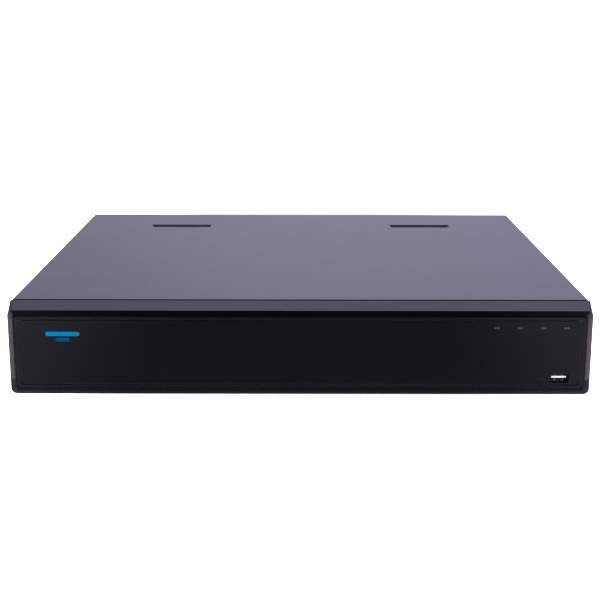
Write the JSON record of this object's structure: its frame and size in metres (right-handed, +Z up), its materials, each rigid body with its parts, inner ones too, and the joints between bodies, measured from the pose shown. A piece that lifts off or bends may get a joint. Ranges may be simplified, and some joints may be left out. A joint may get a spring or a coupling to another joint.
{
  "type": "video recorder",
  "caption": "Desktop video recorder: low black steel case with sliding cover, glossy moulded front with indicator windows and USB socket, rear sockets, drives, fans and boards inside.",
  "frame": {"origin": "under the middle of the case, where the feet stand", "axes": "+X to the right seen from the front, +Y to the rear, +Z up"},
  "size_m": [0.44, 0.411, 0.076],
  "materials": {
    "cover_paint": "fine black powder coat, satin",
    "zinc_steel": "zinc-plated sheet, satin",
    "bezel_plastic": "black moulded plastic, semi-gloss",
    "insert_gloss": "black acrylic, high gloss",
    "light_pipe": "milky light pipe",
    "nickel": "nickel plate, satin",
    "white_plastic": "white socket insulator",
    "circuit_board": "green solder mask",
    "supply_board": "tan phenolic board",
    "black_plastic": "black moulded plastic, matte",
    "green_plastic": "green terminal plastic",
    "cast_alloy": "cast and extruded aluminium",
    "foot_rubber": "black rubber, matte",
    "transformer_tape": "yellow polyester tape",
    "data_lead": "red lead sleeve",
    "lead_sleeve": "black lead sleeve"
  },
  "bodies": {
    "case": {"chassis_tray": "zinc_steel", "rear_panel": "cover_paint", "foot_front_left": "foot_rubber", "foot_front_right": "foot_rubber", "foot_rear_left": "foot_rubber", "foot_rear_right": "foot_rubber", "front_bezel": "bezel_plastic", "front_insert": "insert_gloss", "light_pipe_1": "light_pipe", "light_pipe_2": "light_pipe", "light_pipe_3": "light_pipe", "light_pipe_4": "light_pipe", "front_usb_shell": "nickel", "front_usb_tongue": "white_plastic", "indicator_board": "circuit_board", "video_sockets_right": "nickel", "video_sockets_middle": "nickel", "audio_sockets": "black_plastic", "vga_socket": "nickel", "hdmi_socket": "nickel", "rear_usb_sockets": "nickel", "network_socket": "nickel", "terminal_header": "green_plastic", "earth_screw": "nickel", "mains_inlet": "black_plastic", "switch_frame": "black_plastic", "fan_frame_left": "black_plastic", "fan_frame_right": "black_plastic", "main_board": "circuit_board", "processor_heatsink": "cast_alloy", "clock_battery": "nickel", "power_supply_board": "supply_board", "power_transformer": "transformer_tape", "power_heatsink": "cast_alloy", "drive_cage_left": "zinc_steel", "drive_cage_right": "zinc_steel", "hard_drive_left_lower": "cast_alloy", "hard_drive_left_upper": "cast_alloy", "hard_drive_right_lower": "cast_alloy", "hard_drive_right_upper": "cast_alloy", "data_lead_left_lower": "data_lead", "data_lead_left_upper": "data_lead", "data_lead_right_lower": "data_lead", "data_lead_right_upper": "data_lead", "drive_power_lead_left": "lead_sleeve", "drive_power_lead_right": "lead_sleeve", "indicator_board_lead": "lead_sleeve", "board_power_lead": "lead_sleeve", "inlet_lead": "lead_sleeve", "switch_lead": "lead_sleeve", "fan_lead_left": "lead_sleeve", "fan_lead_right": "lead_sleeve"},
    "cover": {"top_cover": "cover_paint", "cover_screw_left": "nickel", "cover_screw_middle": "nickel", "cover_screw_right": "nickel"},
    "alarm_plug": {"terminal_plug": "green_plastic"},
    "mains_rocker": {"rocker_switch": "black_plastic"},
    "rotor_left": {"fan_rotor_left": "black_plastic"},
    "rotor_right": {"fan_rotor_right": "black_plastic"}
  },
  "joints": [
    {"name": "cover_slide", "type": "slide", "parent": "case", "child": "cover", "axis": [0, 1, 0], "range_m": [0, 0.395]},
    {"name": "alarm_plug_slide", "type": "slide", "parent": "case", "child": "alarm_plug", "axis": [0, 1, 0], "range_m": [0, 0.035]},
    {"name": "rocker_tilt", "type": "hinge", "parent": "case", "child": "mains_rocker", "pos_m": [-0.189, 0.1872, 0.0485], "axis": [1, 0, 0], "range_deg": [0, 20]},
    {"name": "fan_left_spin", "type": "hinge", "parent": "case", "child": "rotor_left", "pos_m": [-0.142, 0.1794, 0.032], "axis": [0, 1, 0], "continuous": true},
    {"name": "fan_right_spin", "type": "hinge", "parent": "case", "child": "rotor_right", "pos_m": [-0.098, 0.1794, 0.032], "axis": [0, 1, 0], "continuous": true}
  ]
}
